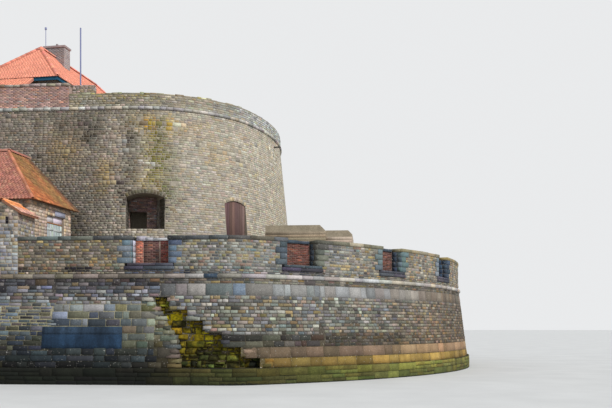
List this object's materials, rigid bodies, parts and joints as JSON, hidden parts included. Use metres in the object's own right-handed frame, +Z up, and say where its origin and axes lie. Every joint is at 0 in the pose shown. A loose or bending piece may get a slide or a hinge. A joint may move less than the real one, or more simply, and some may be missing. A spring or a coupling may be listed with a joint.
{
  "type": "coastal fort with keep",
  "caption": "Stone coastal battery with a rounded seaward front, bricked-up embrasures and an oval keep carrying a tiled guardhouse.",
  "frame": {"origin": "on the ground under the middle of the battery's bounding box", "axes": "+X seaward along the fort's axis, +Y toward the far flank, +Z up"},
  "size_m": [39.6384, 39.4584, 21.025],
  "materials": {
    "dressed_stone": "coursed weathered ashlar",
    "wet_stone": "rough, weed-stained footing stone",
    "rubble_fill": "compacted rubble fill with paved top",
    "coping_stone": "tooled coping stone",
    "dark_sill_stone": "dark worn sill slabs",
    "infill_brick": "weathered brickwork in lime mortar",
    "keep_rubble": "coursed rubble with lichen",
    "concrete": "board-marked concrete",
    "slab_stone": "stone paving on vaulting",
    "parapet_brick": "red brick in lime mortar",
    "roof_tile": "orange clay tiles",
    "fascia_paint": "blue-green paint on board",
    "window_glass": "dark glazing",
    "chimney_brick": "grey-brown brick stack",
    "frame_paint": "worn white paint on wood",
    "pole_paint": "blue-grey paint",
    "board_wood": "weathered brown boards",
    "shutter_wood": "pale blue paint on boards"
  },
  "bodies": {
    "root": {"foundation": "wet_stone", "terreplein": "rubble_fill", "escarp_near_flank": "dressed_stone", "escarp_breached_shoulder": "dressed_stone", "escarp_bow": "dressed_stone", "escarp_far_flank": "dressed_stone", "escarp_gorge": "dressed_stone", "battery_cordon": "coping_stone", "parapet_near_flank": "dressed_stone", "parapet_bow": "dressed_stone", "parapet_far_flank": "dressed_stone", "parapet_gorge": "dressed_stone", "merlon_copings": "coping_stone", "embrasure_sills": "dark_sill_stone", "embrasure_infills": "infill_brick", "infill_capstones": "coping_stone", "shelter_walls": "concrete", "shelter_roof": "concrete", "keep_wall_near_bow": "keep_rubble", "keep_wall_far_bow": "keep_rubble", "keep_wall_near_flank": "keep_rubble", "keep_wall_far_flank": "keep_rubble", "keep_wall_stern": "keep_rubble", "roof_spout": "dark_sill_stone", "keep_cordon": "coping_stone", "keep_parapet_stone": "keep_rubble", "keep_parapet_brick": "parapet_brick", "brick_parapet_coping": "coping_stone", "keep_parapet_stub": "keep_rubble", "keep_floor": "slab_stone", "keep_roof_terrace": "slab_stone", "recess_screens": "infill_brick", "guardhouse_walls": "keep_rubble", "guardhouse_roof": "roof_tile", "guardhouse_fascia": "fascia_paint", "guardhouse_windows": "window_glass", "guardhouse_window_frames": "frame_paint", "chimney": "chimney_brick", "flagpole": "pole_paint", "aerial": "pole_paint", "house_walls": "keep_rubble", "house_roof": "roof_tile", "house_shutters": "shutter_wood", "plank_doors": "board_wood", "annexe_walls": "keep_rubble", "annexe_roof": "roof_tile"}
  },
  "joints": []
}
